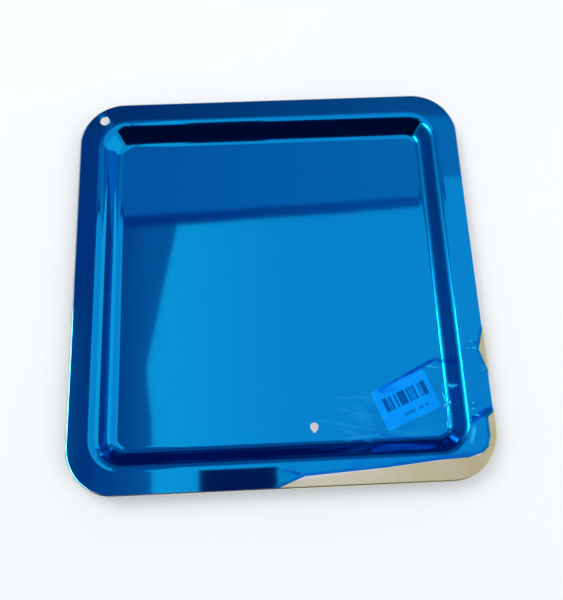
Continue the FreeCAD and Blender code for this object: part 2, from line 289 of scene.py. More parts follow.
def rim_section(pan, steps):
    """Points (across, up) round the bent-down rim and down to its cut edge."""
    centre = (pan.side / 2 - pan.rim_radius, pan.height - pan.rim_radius)
    foot = (pan.side / 2, pan.height - pan.rim_height)
    return arc(centre, pan.rim_radius, math.pi / 2, 0, steps) + [foot]


# The steel pan ----------------------------------------------------------------

CORNER_STEPS = 24
ARC_STEPS = 14
RIM_STEPS = 6
HOLE_SIDES = 48
# A narrow flat strip beside each arc keeps the arc's smooth shading off the flats.
FLAT_MARGIN = 0.2 * MM
# Points closer than this count as one.
TINY = 0.01 * MM
# Tumbling eases the sheared edges, which are all that bend by more than EASED_ANGLE.
EDGE_EASE = 0.08 * MM
EASED_ANGLE = math.radians(60)
# Edges that bend by less than this are shaded smooth.
SMOOTH_ANGLE = math.radians(35)


def spin_quarter(name, section, centre):
    """Spin a section through a corner and run it straight to both middle planes."""
    chain = [Vector((across, centre, up)) for across, up in section]
    piece = add_chain(name, chain)
    bpy.ops.mesh.select_all(action="SELECT")
    # Spin takes a turn from +X to +Y as negative.
    bpy.ops.mesh.spin(steps=CORNER_STEPS, angle=-math.pi / 2, center=(centre, centre, 0), axis=(0, 0, 1))
    select_points(piece, lambda place: abs(place.y - centre) < TINY and place.x > centre)
    bpy.ops.mesh.extrude_region_move(TRANSFORM_OT_translate={"value": (0, -centre, 0)})
    select_points(piece, lambda place: abs(place.x - centre) < TINY and place.y > centre)
    bpy.ops.mesh.extrude_region_move(TRANSFORM_OT_translate={"value": (-centre, 0, 0)})
    bpy.ops.object.mode_set(mode="OBJECT")
    return piece


def press_sheet(pan):
    """Model the steel's top face: wall and rim spun, flange bridged, mirrored, and floor filled."""
    section = wall_section(pan, 0, ARC_STEPS)
    floor_edge = (section[0][0] - FLAT_MARGIN, section[0][1])
    flange_start = (section[-1][0] + FLAT_MARGIN, section[-1][1])
    wall = spin_quarter("steel_pan", [floor_edge, *section, flange_start], crest_centre(pan))
    bend = rim_section(pan, RIM_STEPS)
    flange_end = (bend[0][0] - FLAT_MARGIN, bend[0][1])
    rim = spin_quarter("rim", [flange_end, *bend], rim_centre(pan))

    activate(wall)
    rim.select_set(True)
    bpy.ops.object.join()
    bpy.ops.object.mode_set(mode="EDIT")

    def on_line(place, reach, centre):
        """Whether a place lies on the flange's rounded line with this half-width and arc centre."""
        radius = reach - centre
        beyond = Vector((max(place.x - centre, 0), max(place.y - centre, 0)))
        return abs(beyond.length - radius) < TINY and abs(place.z - pan.height) < TINY

    select_points(
        wall,
        lambda place: on_line(place, flange_start[0], crest_centre(pan))
        or on_line(place, flange_end[0], rim_centre(pan)),
    )
    bpy.ops.mesh.bridge_edge_loops()
    bpy.ops.object.mode_set(mode="OBJECT")
    apply_modifier(wall, "MIRROR", use_axis=(True, True, False), merge_threshold=TINY)

    bpy.ops.object.mode_set(mode="EDIT")
    reach = floor_edge[0] + TINY
    select_points(wall, lambda place: abs(place.x) < reach and abs(place.y) < reach)
    bpy.ops.mesh.edge_face_add()
    bpy.ops.mesh.select_all(action="SELECT")
    bpy.ops.mesh.normals_make_consistent(inside=False)
    bpy.ops.object.mode_set(mode="OBJECT")
    floor = max(wall.data.polygons, key=lambda face: face.area)
    if floor.normal.z < 0:
        bpy.ops.object.mode_set(mode="EDIT")
        bpy.ops.mesh.flip_normals()
        bpy.ops.object.mode_set(mode="OBJECT")
    return wall


def cut_hanging_hole(piece, pan, radius):
    """Cut a round hole through a piece at the hanging hole's place."""
    deselect()
    bpy.ops.mesh.primitive_cylinder_add(
        vertices=HOLE_SIDES,
        radius=radius,
        depth=pan.height,
        location=(-pan.hole_x, pan.hole_y, pan.height),
    )
    cut(piece, bpy.context.object)


def make_pan(pan):
    """The steel pan: its top face given the sheet's thickness, the hanging hole cut and edges eased."""
    piece = press_sheet(pan)
    apply_modifier(piece, "SOLIDIFY", thickness=pan.gauge, offset=-1, use_even_offset=True)
    cut_hanging_hole(piece, pan, pan.hole_radius)
    apply_modifier(
        piece, "BEVEL", width=EDGE_EASE, segments=2, limit_method="ANGLE", angle_limit=EASED_ANGLE
    )
    bpy.ops.object.shade_smooth_by_angle(angle=SMOOTH_ANGLE)
    return piece


# The film ---------------------------------------------------------------------

# The places below are in millimetres in plan, from the pan's middle.

# The torn edge. Both patches of bare steel run out past the pan's edge.
NOTCH = [(127, -36), (123.8, -38), (120, -50), (123.8, -63), (127, -66)]
CORNER_PATCH = [
    (127, -85.5), (123.4, -87.5), (120.3, -90), (120.2, -100.5), (118.3, -106.6), (114.8, -109.6),
    (106.5, -112), (88.5, -112.8), (59, -115.5), (12, -118.2), (-3.5, -124), (-5, -127), (127, -127),
]

# All the loosened film lies to the right of LOOSE_LEFT and nearer than LOOSE_FAR. The mesh is fine from a
# little inside them.
LOOSE_LEFT = -8
LOOSE_FAR = -30
FINE_LEFT = -6
FINE_FAR = -34

# Rings of the film's mesh round the wall: steps in each arc, and spacing on the floor and the flange.
FILM_ARC_STEPS = 10
FLOOR_RING = 1 * MM
FLANGE_RING = 1.2 * MM

# Steps in the two round ends of the small torn hole.
TEAR_STEPS = 24
TEAR_TIP_STEPS = 10

# Wrinkled film is shaded smooth where it bends by less than this.
FILM_SMOOTH_ANGLE = math.radians(50)

# Two edges of the laid-back corner, along which the film starts to come loose, and how soon it is all loose.
LOOSE_UPPER_EDGE = ((52, -75), (97, -52))
LOOSE_LEFT_EDGE = ((30, -120), (52, -75))
LOOSENING = 6

# How wide and high the film curls up along its torn edge.
CURL_WIDTH = 3.0
CURL_HEIGHT = 0.5

# How much painted shade darkens the film along its torn edge and in the crumpled facets, 0 to 1, and how wide
# the edge is.
TORN_SHADE = 0.5
TORN_SHADE_WIDTH = 1.6
FACET_SHADE = 0.15

# Cells of the crumpled film: their length, width, turn in degrees and the slice of the pattern that is used.
CELL_LENGTH = 13
CELL_WIDTH = 7
CELL_TURN = -25
CELL_SLICE = 3.7

# Ridges of the laid-back corner: both ends, height and half-width.
RIDGES = [
    ((58, -73.5), (72.4, -66.1), 1.1, 1.6),
    ((72.4, -66.1), (88.3, -57.2), 1.2, 1.8),
    ((88.3, -57.2), (107, -52), 1.0, 2.2),
    ((59, -68.9), (86, -55.8), 0.5, 1.2),
    ((56, -74), (33.7, -74.7), 0.5, 2.0),
    ((57.6, -78.8), (44.6, -72.9), 0.4, 1.8),
    ((55, -80), (33, -83), 0.45, 2.2),
    ((60, -92), (40, -88), 0.5, 2.4),
    ((58.7, -97), (30, -98), 0.45, 2.6),
    ((46, -95), (20, -87), 0.35, 2.6),
    ((57, -75), (61.3, -98), 0.7, 1.8),
    ((93.6, -58.8), (103.3, -86.7), 0.8, 2.2),
    ((101.3, -69.3), (105.5, -72.5), 1.2, 1.5),
    ((98, -83.2), (102.5, -79), 1.1, 1.6),
    ((99.8, -93.7), (101.7, -86), 0.9, 1.4),
    ((112, -49), (123, -46.5), 0.9, 1.4),
    ((109.3, -91.9), (116.2, -89), 1.5, 2.0),
    ((116.2, -89), (124, -84.9), 1.6, 2.4),
    ((111.3, -81.1), (115.7, -82.8), 0.8, 1.4),
    ((113.1, -88.8), (120, -80), 0.7, 1.3),
    ((107.9, -105), (112, -95), 0.9, 2.0),
    ((4, -112), (12, -118), 0.6, 1.8),
    ((-1, -113), (6, -119), 0.5, 1.4),
]

# Dark lines of painted shade along the folds of the loosened film: both ends, half-width and strength.
SHADE_STROKES = [
    ((59, -71.8), (74, -64.2), 1.1, 0.7),
    ((74, -64.2), (97, -53.2), 1.4, 0.9),
    ((97, -54), (108, -57), 1.6, 0.7),
    ((60.8, -73), (70.6, -70), 1.4, 0.6),
    ((110, -91.6), (124, -84.8), 2.3, 1.0),
    ((118, -45.6), (123, -44), 1.1, 0.9),
    ((119, -51), (123, -54), 1.6, 0.5),
    ((49.7, -95), (88.9, -103), 1.6, 0.35),
    ((0, -114), (11, -118), 0.8, 0.8),
    ((60, -114.4), (112, -109.6), 1.2, 0.6),
]

# Painted glints along sharp creases of the film: both ends, half-width and strength.
CREASE_GLINTS = [
    ((90.3, -57.4), (95, -58.6), 0.55, 0.75),
    ((95, -58.6), (101.5, -59.2), 0.4, 0.35),
    ((58, -75.2), (90, -60.4), 0.5, 0.22),
    ((101.6, -69.2), (105, -73), 0.85, 0.95),
    ((98.4, -82.6), (101.8, -79.4), 1.35, 0.7),
    ((99.8, -94.5), (101, -86), 0.75, 0.6),
    ((112.6, -49.2), (120.4, -49.3), 0.3, 0.6),
    ((114, -45.2), (120, -44.6), 0.3, 0.45),
    ((112.2, -81.4), (112.6, -82.2), 0.6, 0.8),
    ((112, -84.6), (112.9, -85.4), 0.6, 0.9),
    ((112.6, -88.4), (115, -89.2), 0.5, 0.9),
    ((108.4, -104.4), (111.8, -94.8), 1.5, 0.5),
    ((101, -99), (104.6, -96), 0.4, 0.3),
    ((120.4, -59.4), (122.3, -64), 0.7, 0.3),
    ((64, -75.4), (66, -74.6), 0.4, 0.2),
]

# Painted highlights along shallow sags, fanning out from the loosened corner: both ends, half-width and
# strength.
SAG_HIGHLIGHTS = [
    ((33.7, -74.7), (56, -75.5), 1.0, 0.16),
    ((44.6, -72.9), (57.6, -78.8), 0.8, 0.14),
    ((34.6, -81.1), (56, -86.5), 1.0, 0.15),
    ((20, -87), (47.8, -93), 1.0, 0.12),
    ((49.1, -84.4), (46.8, -93.4), 0.9, 0.12),
    ((37.3, -99.4), (58.7, -97.1), 1.2, 0.2),
    ((33, -92), (53, -101), 1.4, 0.12),
    ((44, -80), (54, -95), 5.0, 0.10),
    ((64, -97), (92, -97), 3.0, 0.08),
]


def off_segment(place, start, end):
    """Distance in plan from a place to a straight segment, and how far along it the nearest point is."""
    run = Vector(end) - Vector(start)
    out = place - Vector(start)
    share = min(max(out.dot(run) / run.length_squared, 0), 1)
    return (out - run * share).length, share


def off_outline(place, outline):
    """Distance in plan from a place to the nearest side of an open outline."""
    return min(off_segment(place, start, end)[0] for start, end in zip(outline, outline[1:]))


def off_tear(place):
    """Distance in plan from a place to the film's torn edge, leaving out the parts past the pan's edge."""
    return min(off_outline(place, NOTCH[1:-1]), off_outline(place, CORNER_PATCH[:-2]))


def off_line(place, start, end):
    """Signed distance in plan to the right of an endless line."""
    run = (Vector(end) - Vector(start)).normalized()
    out = place - Vector(start)
    return run.y * out.x - run.x * out.y


def looseness(place):
    """How loose the film is, from 0 where it still sticks to 1 well inside the laid-back corner."""
    return smooth_step(min(off_line(place, *LOOSE_UPPER_EDGE), off_line(place, *LOOSE_LEFT_EDGE)) / LOOSENING)


def crumple(place):
    """Facets of crumpled film: ridges between the cells of a stretched cell pattern, 0 to 1."""
    turned = Matrix.Rotation(math.radians(CELL_TURN), 2) @ place
    distances, _ = noise.voronoi(Vector((turned.x / CELL_LENGTH, turned.y / CELL_WIDTH, CELL_SLICE)))
    return min(distances[0] * 1.3, 1.0)


def wrinkle(place, film):
    """Height in metres that the film stands off at a place in plan, given in millimetres."""
    height = 0.0
    for start, end, peak, half_width in RIDGES:
        gap, share = off_segment(place, start, end)
        # A ridge is highest halfway along, and its flanks are slightly hollow.
        taper = 0.4 + 0.6 * math.sin(math.pi * share)
        height = max(height, peak * taper * max(0.0, 1 - gap / half_width) ** 1.3)
    height *= MM
    height += film.crumple * looseness(place) * crumple(place)
    curl = max(0.0, 1 - off_tear(place) / CURL_WIDTH)
    return height + CURL_HEIGHT * MM * curl * curl


def marked(place, strokes):
    """How strongly the strokes mark a place in plan, 0 to 1. Each fades towards its ends and sides."""
    share = 0.0
    for start, end, half_width, strength in strokes:
        gap, along = off_segment(place, start, end)
        fade = smooth_step(4 * min(along, 1 - along) + 0.35)
        share = max(share, strength * fade * smooth_step(1.5 * (1 - gap / half_width)))
    return share


def torn_shade(place):
    """How much painted shade darkens the curled edge of the torn film, 0 to 1."""
    return TORN_SHADE * smooth_step(1.4 - off_tear(place) / TORN_SHADE_WIDTH)


def spaced(start, end, spacing):
    """Even places from start to just before end, about a spacing apart."""
    count = max(1, round(abs(end - start) / spacing))
    return [start + (end - start) * step / count for step in range(count)]


def film_levels(pan, film):
    """Rings of the film out from the corner arcs' centre: half-width, arc centre and height of each."""
    inner = crest_centre(pan)
    section = wall_section(pan, film.gap, FILM_ARC_STEPS)
    floor_edge, floor_height = section[0]
    rings = [(across, inner, floor_height) for across in spaced(inner, floor_edge, FLOOR_RING)[1:]]
    rings += [(across, inner, up) for across, up in section]
    start = section[-1][0]
    end = pan.side / 2 - pan.rim_radius
    for across in spaced(start, end, FLANGE_RING)[1:] + [end]:
        share = (across - start) / (end - start)
        rings.append((across, inner + (rim_centre(pan) - inner) * share, section[-1][1]))
    return rings


def film_place(column, row, columns, rows, rings):
    """Place of one grid point: straight between the corner arcs' centres, and round them outside."""
    inner = -columns[0]

    def outside(index, straight):
        """How many rings out a column or row is, and on which side."""
        if index < len(rings):
            return len(rings) - index, -1
        if index >= len(rings) + len(straight):
            return index - len(rings) - len(straight) + 1, 1
        return 0, 0

    out_x, side_x = outside(column, columns)
    out_y, side_y = outside(row, rows)
    ring = max(out_x, out_y)
    across, centre, up = rings[ring - 1] if ring else (inner, inner, rings[0][2])
    if not out_x or not out_y:
        stretch = centre / inner
        x = side_x * across if out_x else columns[column - len(rings)] * stretch
        y = side_y * across if out_y else rows[row - len(rings)] * stretch
        return Vector((x, y, up))
    turn = math.pi / 4 * (out_y / out_x if out_x >= out_y else 2 - out_x / out_y)
    reach = across - centre
    x = side_x * (centre + reach * math.cos(turn))
    y = side_y * (centre + reach * math.sin(turn))
    return Vector((x, y, up))


def make_film(pan, film):
    """The film: a grid laid over the pressed shape, thickened, torn at one corner and wrinkled there."""
    inner = crest_centre(pan)
    columns = spaced(-inner, FINE_LEFT * MM, film.coarse)
    columns += spaced(FINE_LEFT * MM, inner, film.fine) + [inner]
    rows = spaced(-inner, FINE_FAR * MM, film.fine)
    rows += spaced(FINE_FAR * MM, inner, film.coarse) + [inner]
    rings = film_levels(pan, film)
    count_x = len(columns) + 2 * len(rings)
    count_y = len(rows) + 2 * len(rings)
    deselect()
    bpy.ops.mesh.primitive_grid_add(x_subdivisions=count_x - 1, y_subdivisions=count_y - 1, size=pan.side)
    piece = bpy.context.object
    name_piece(piece, "film")
    for index, point in enumerate(piece.data.vertices):
        row, column = divmod(index, count_x)
        point.co = film_place(column, row, columns, rows, rings)
    apply_modifier(piece, "SOLIDIFY", thickness=film.gauge, offset=1, use_even_offset=True)

    # The cutters reach well past both faces.
    low = -pan.gauge
    high = pan.height + 5 * MM
    for name, outline in (("notch", NOTCH), ("corner_patch", CORNER_PATCH)):
        cut(piece, add_prism(name, [(x * MM, y * MM) for x, y in outline], low, high))
    cut(piece, add_tear(film, low, high))
    cut_hanging_hole(piece, pan, film.hole_radius)

    shade_marks = piece.data.attributes.new("shade_painted", "FLOAT", "POINT")
    glint_marks = piece.data.attributes.new("highlighted", "FLOAT", "POINT")
    for index, point in enumerate(piece.data.vertices):
        place = Vector((point.co.x, point.co.y)) / MM
        if place.x > LOOSE_LEFT and place.y < LOOSE_FAR:
            point.co.z += wrinkle(place, film)
            # Painted shade: the folds, the curled torn edge and the crumpled facets are marked darker.
            facets = FACET_SHADE * looseness(place) * crumple(place)
            shade_marks.data[index].value = max(marked(place, SHADE_STROKES), torn_shade(place), facets)
            # Painted glints and highlights are marked along the creases and sags.
            glint_marks.data[index].value = max(marked(place, CREASE_GLINTS), marked(place, SAG_HIGHLIGHTS))
    activate(piece)
    bpy.ops.object.shade_smooth_by_angle(angle=FILM_SMOOTH_ANGLE)
    return piece


def add_tear(film, low, high):
    """A prism for the small torn hole: egg-shaped, its narrow end nearer."""
    lean = math.asin((film.tear_radius - film.tear_tip_radius) / film.tear_length)
    middle = (film.tear_x, -film.tear_y)
    tip = (film.tear_x, -film.tear_y - film.tear_length)
    outline = arc(middle, film.tear_radius, -lean, math.pi + lean, TEAR_STEPS)
    outline += arc(tip, film.tear_tip_radius, math.pi + lean, 2 * math.pi - lean, TEAR_TIP_STEPS)
    return add_prism("tear", outline, low, high)


# Materials --------------------------------------------------------------------


def new_material(name):
    """A node material with no nodes yet."""
    material = bpy.data.materials.new(name)
    material.use_nodes = True
    material.node_tree.nodes.clear()
    return material


def add_node(material, kind, **options):
    """Add a node with its settings and links.

    A lower-case option is a setting. The others are inputs, by name, or by number as _0, _1 and so on. An
    input is set to a value, or linked from a socket or from a node's first output.
    """
    node = material.node_tree.nodes.new(kind)
    for key, value in options.items():
        if key[0].islower():
            setattr(node, key, value)
            continue
        socket = node.inputs[int(key[1:]) if key[0] == "_" else key.replace("_", " ")]
        if isinstance(value, bpy.types.Node):
            value = value.outputs[0]
        if isinstance(value, bpy.types.NodeSocket):
            material.node_tree.links.new(value, socket)
        else:
            socket.default_value = value
    return node


def add_mask(material, patches):
    """A mask from 0 to 1 that is the largest of its patches.

    A patch is the product of ramps, each a value that is followed from one place to another, in millimetres.
    """
    mask = 0.0
    for ramps in patches:
        patch = 1.0
        for value, start, end in ramps:
            ramp = add_node(
                material, "ShaderNodeMapRange", Value=value, From_Min=start * MM, From_Max=end * MM
            )
            patch = add_node(material, "ShaderNodeMath", operation="MULTIPLY", _0=patch, _1=ramp)
        mask = add_node(material, "ShaderNodeMath", operation="MAXIMUM", _0=mask, _1=patch)
    return mask


def give(piece, material):
    """Make a material a piece's only one."""
    piece.data.materials.clear()
    piece.data.materials.append(material)


def polished_stainless(finish):
    """Mirror-polished stainless sheet (304, bright annealed): sharp reflections with a faint rolled ripple.

    Along the torn corner the glue of the peeled film has dulled and yellowed it.
    """
    material = new_material("polished_stainless")
    place = add_node(material, "ShaderNodeTexCoord").outputs["Object"]
    x, y, z = add_node(material, "ShaderNodeSeparateXYZ", Vector=place).outputs

    # The film's torn edge slopes a little along the near flange and runs at 45 degrees round the corner. The
    # notch in its right edge widens outwards from its deepest point, at Y = -50 mm.
    sloped = add_node(material, "ShaderNodeMath", operation="MULTIPLY_ADD", _0=x, _1=-0.086, _2=y)
    diagonal = add_node(material, "ShaderNodeMath", operation="SUBTRACT", _0=x, _1=y)
    past_notch = add_node(material, "ShaderNodeMath", operation="ADD", _0=y, _1=50 * MM)
    off_notch = add_node(material, "ShaderNodeMath", operation="ABSOLUTE", _0=past_notch)
    notch = add_node(material, "ShaderNodeMath", operation="MULTIPLY_ADD", _0=off_notch, _1=-0.3, _2=x)
    bare = add_mask(material, [
        [(sloped, -120.4, -121.2), (x, -4, 0)],
        [(x, 119.2, 120), (y, -85, -87)],
        [(diagonal, 223.4, 224.4)],
        [(notch, 119.4, 120), (y, -34, -36)],
    ])
    # Where the steel is bare, what is left of the glue hazes it, in smears 10 to 20 mm across.
    smears = add_node(material, "ShaderNodeTexNoise", Vector=place, Scale=70.0, Detail=3.0)
    smeared = add_node(
        material, "ShaderNodeMapRange", Value=smears.outputs["Fac"], From_Min=0.3, From_Max=0.7, To_Min=0.75
    )
    haze = add_node(material, "ShaderNodeMath", operation="MULTIPLY", _0=bare, _1=smeared)
    # The glue colour turns darker and yellower towards the right.
    toward_right = add_node(material, "ShaderNodeMapRange", Value=x, From_Min=20 * MM, From_Max=105 * MM)
    glue = add_node(
        material, "ShaderNodeMix", data_type="RGBA", _0=toward_right,
        _6=linear(finish.pale_glue), _7=linear(finish.glue),
    )
    shade = add_node(
        material, "ShaderNodeMix", data_type="RGBA", _0=haze,
        _6=linear(finish.steel), _7=glue.outputs[2],
    )

    # Drawing has scuffed the right wall between floor and flange, and bending has scuffed the rim.
    off_x = add_node(material, "ShaderNodeMath", operation="ABSOLUTE", _0=x)
    off_y = add_node(material, "ShaderNodeMath", operation="ABSOLUTE", _0=y)
    outermost = add_node(material, "ShaderNodeMath", operation="MAXIMUM", _0=off_x, _1=off_y)
    rightward = add_node(material, "ShaderNodeMath", operation="SUBTRACT", _0=x, _1=off_y)
    scuffed = add_mask(material, [
        [(z, 0.62, 1.5), (z, 10.78, 9.9), (rightward, -6, 8)],
        [(outermost, 123.7, 124.1)],
    ])
    polish = add_node(material, "ShaderNodeMapRange", Value=scuffed, To_Min=0.045, To_Max=0.31)
    dulled = add_node(material, "ShaderNodeMapRange", Value=haze, To_Min=polish.outputs[0], To_Max=0.3)

    # Rolling and pressing leave a ripple about 40 mm long and a few hundredths of a millimetre high.
    ripple = add_node(material, "ShaderNodeTexNoise", Vector=place, Scale=25.0, Detail=1.0)
    bump = add_node(
        material, "ShaderNodeBump", Height=ripple.outputs["Fac"], Strength=1.0, Distance=0.03 * MM
    )
    steel = add_node(
        material, "ShaderNodeBsdfPrincipled", Base_Color=shade.outputs[2], Metallic=1.0,
        Roughness=dulled, Normal=bump,
    )
    add_node(material, "ShaderNodeOutputMaterial", Surface=steel)
    return material


def blue_film(finish):
    """Blue-tinted polyethylene film with a glossy face, clear to the steel below, deeper where painted shade
    marks it and lighter along painted glints.
    """
    material = new_material("blue_polyethylene_film")
    place = add_node(material, "ShaderNodeTexCoord").outputs["Object"]
    shade_marks = add_node(material, "ShaderNodeAttribute", attribute_name="shade_painted")
    # Painted shade: the tint deepens where the points are marked darker along folds, the torn edge and
    # crumpled facets.
    tint = add_node(
        material, "ShaderNodeMix", data_type="RGBA", _0=shade_marks.outputs["Fac"],
        _6=linear(finish.film), _7=linear(finish.fold_shade),
    )
    clear = add_node(material, "ShaderNodeBsdfTransparent", Color=tint.outputs[2])
    # Blown film has a fine orange peel, a few millimetres across, under its gloss.
    peel = add_node(material, "ShaderNodeTexNoise", Vector=place, Scale=250.0, Detail=2.0)
    bump = add_node(material, "ShaderNodeBump", Height=peel.outputs["Fac"], Strength=1.0, Distance=0.01 * MM)
    haze = add_node(material, "ShaderNodeBsdfDiffuse", Color=linear(finish.haze), Normal=bump)
    scatter = add_node(material, "ShaderNodeMixShader", Fac=0.012, _1=clear, _2=haze)
    # Painted glints and highlights: a light cyan diffuse along the marked creases and sags.
    glint_marks = add_node(material, "ShaderNodeAttribute", attribute_name="highlighted")
    glint_paint = add_node(material, "ShaderNodeBsdfDiffuse", Color=linear(finish.crease_glint))
    body = add_node(material, "ShaderNodeMixShader", _0=glint_marks.outputs["Fac"], _1=scatter, _2=glint_paint)
    face = add_node(
        material, "ShaderNodeBsdfAnisotropic", Color=linear(finish.shine), Roughness=0.06, Normal=bump
    )
    # Both faces mirror 4% of the light head on and all of it at a grazing angle, rising as the fifth power.
    slant = add_node(material, "ShaderNodeLayerWeight", Blend=0.5, Normal=bump)
    steep = add_node(material, "ShaderNodeMath", operation="POWER", _0=slant.outputs["Facing"], _1=5.0)
    mirrored = add_node(material, "ShaderNodeMapRange", Value=steep, To_Min=0.04)
    mixed = add_node(material, "ShaderNodeMixShader", _0=mirrored, _1=body, _2=face)
    add_node(material, "ShaderNodeOutputMaterial", Surface=mixed)
    return material


# The label's print, in millimetres from the label's middle: the width and share of the marks, the left,
# right, low and high ends of their block, and how dark they are. The narrowest bars of such labels are a
# third of a millimetre wide, and these are 0.6 mm, so that they show.
PRINT = [
    (0.6, 0.6, -13.4, -7.4, -2.4, 6.2, 1.0),
    (0.6, 0.6, -5.8, 8.2, -2.4, 6.2, 1.0),
    (0.6, 0.6, 9.8, 15.6, -2.4, 6.2, 1.0),
    (1.3, 0.7, -4.7, 11.5, -8.6, -6.8, 0.6),
]
LABEL_TURN = 22


def label_paper(finish, middle, turn):
    """Uncoated white label paper, thermally printed with plain bars and a row of plain marks."""
    material = new_material("label_paper")
    place = add_node(material, "ShaderNodeTexCoord").outputs["Object"]
    centred = add_node(
        material, "ShaderNodeMapping", vector_type="TEXTURE", Vector=place,
        Location=middle, Rotation=(0, 0, turn),
    )
    x, y, _ = add_node(material, "ShaderNodeSeparateXYZ", Vector=centred).outputs

    printed = 0.0
    for width, share, left, right, low, high, darkness in PRINT:
        # Each upright strip of this width is marked or left blank by chance.
        scaled = add_node(material, "ShaderNodeMath", operation="DIVIDE", _0=x, _1=width * MM)
        strip = add_node(material, "ShaderNodeMath", operation="FLOOR", _0=scaled)
        chance = add_node(material, "ShaderNodeTexWhiteNoise", noise_dimensions="1D", W=strip)
        marks = add_node(material, "ShaderNodeMath", operation="LESS_THAN", _0=chance, _1=share)
        for value, start, end in ((x, left, right), (y, low, high)):
            within = add_node(
                material, "ShaderNodeMath", operation="COMPARE", _0=value,
                _1=(start + end) / 2 * MM, _2=(end - start) / 2 * MM,
            )
            marks = add_node(material, "ShaderNodeMath", operation="MULTIPLY", _0=marks, _1=within)
        marks = add_node(material, "ShaderNodeMath", operation="MULTIPLY", _0=marks, _1=darkness)
        printed = add_node(material, "ShaderNodeMath", operation="MAXIMUM", _0=printed, _1=marks)

    # Paper fibres are about a millimetre long.
    fibre = add_node(material, "ShaderNodeTexNoise", Vector=place, Scale=900.0, Detail=4.0)
    bump = add_node(material, "ShaderNodeBump", Height=fibre.outputs["Fac"], Strength=0.5, Distance=0.02 * MM)
    ink = add_node(
        material, "ShaderNodeMix", data_type="RGBA", _0=printed,
        _6=linear(finish.paper), _7=linear(finish.ink),
    )
    paper = add_node(
        material, "ShaderNodeBsdfPrincipled", Base_Color=ink.outputs[2], Roughness=0.75, Normal=bump
    )
    add_node(material, "ShaderNodeOutputMaterial", Surface=paper)
    return material


def studio_floor(finish):
    """Matt painted board: pale, with a very faint mottle."""
    material = new_material("painted_board")
    place = add_node(material, "ShaderNodeTexCoord").outputs["Object"]
    mottle = add_node(material, "ShaderNodeTexNoise", Vector=place, Scale=3.0, Detail=2.0)
    shade = add_node(
        material, "ShaderNodeMix", data_type="RGBA", _0=mottle.outputs["Fac"],
        _6=linear(finish.floor), _7=(0.8, 0.8, 0.8, 1),
    )
    board = add_node(material, "ShaderNodeBsdfPrincipled", Base_Color=shade.outputs[2], Roughness=0.8)
    add_node(material, "ShaderNodeOutputMaterial", Surface=board)
    return material


def card_glow(name, tint, fade):
    """A card's glow: one tint all over, or fading along an axis to another."""
    material = new_material(name)
    shade = (*tint, 1.0)
    if fade:
        axis, start, end, far_tint = fade
        place = add_node(material, "ShaderNodeTexCoord").outputs["Object"]
        along = add_node(material, "ShaderNodeSeparateXYZ", Vector=place).outputs[axis]
        share = add_node(material, "ShaderNodeMapRange", Value=along, From_Min=start, From_Max=end)
        shade = add_node(
            material, "ShaderNodeMix", data_type="RGBA", _0=share, _6=shade, _7=(*far_tint, 1.0)
        ).outputs[2]
    glow = add_node(material, "ShaderNodeEmission", Color=shade, Strength=1.0)
    add_node(material, "ShaderNodeOutputMaterial", Surface=glow)
    return material


# The stage --------------------------------------------------------------------


def add_card(name, corners, tint, fade=None):
    """A flat card that only mirrors see. A fade is an axis, where it starts and ends, and the end's tint."""
    card = add_chain(name, [Vector(corner) for corner in corners])
    bpy.ops.mesh.select_all(action="SELECT")
    bpy.ops.mesh.edge_face_add()
    bpy.ops.object.mode_set(mode="OBJECT")
    give(card, card_glow(f"{name}_glow", tint, fade))
    card.visible_camera = False
    card.visible_diffuse = False
    card.visible_shadow = False
    return card


def add_upright(name, left, right, low, high, tint, fade=None):
    """A card stood up between two places in plan."""
    corners = [(*left, low), (*right, low), (*right, high), (*left, high)]
    return add_card(name, corners, tint, fade)


def add_overhead(name, outline, height, tint, fade=None):
    """A card hung level at a height."""
    return add_card(name, [(x, y, height) for x, y in outline], tint, fade)


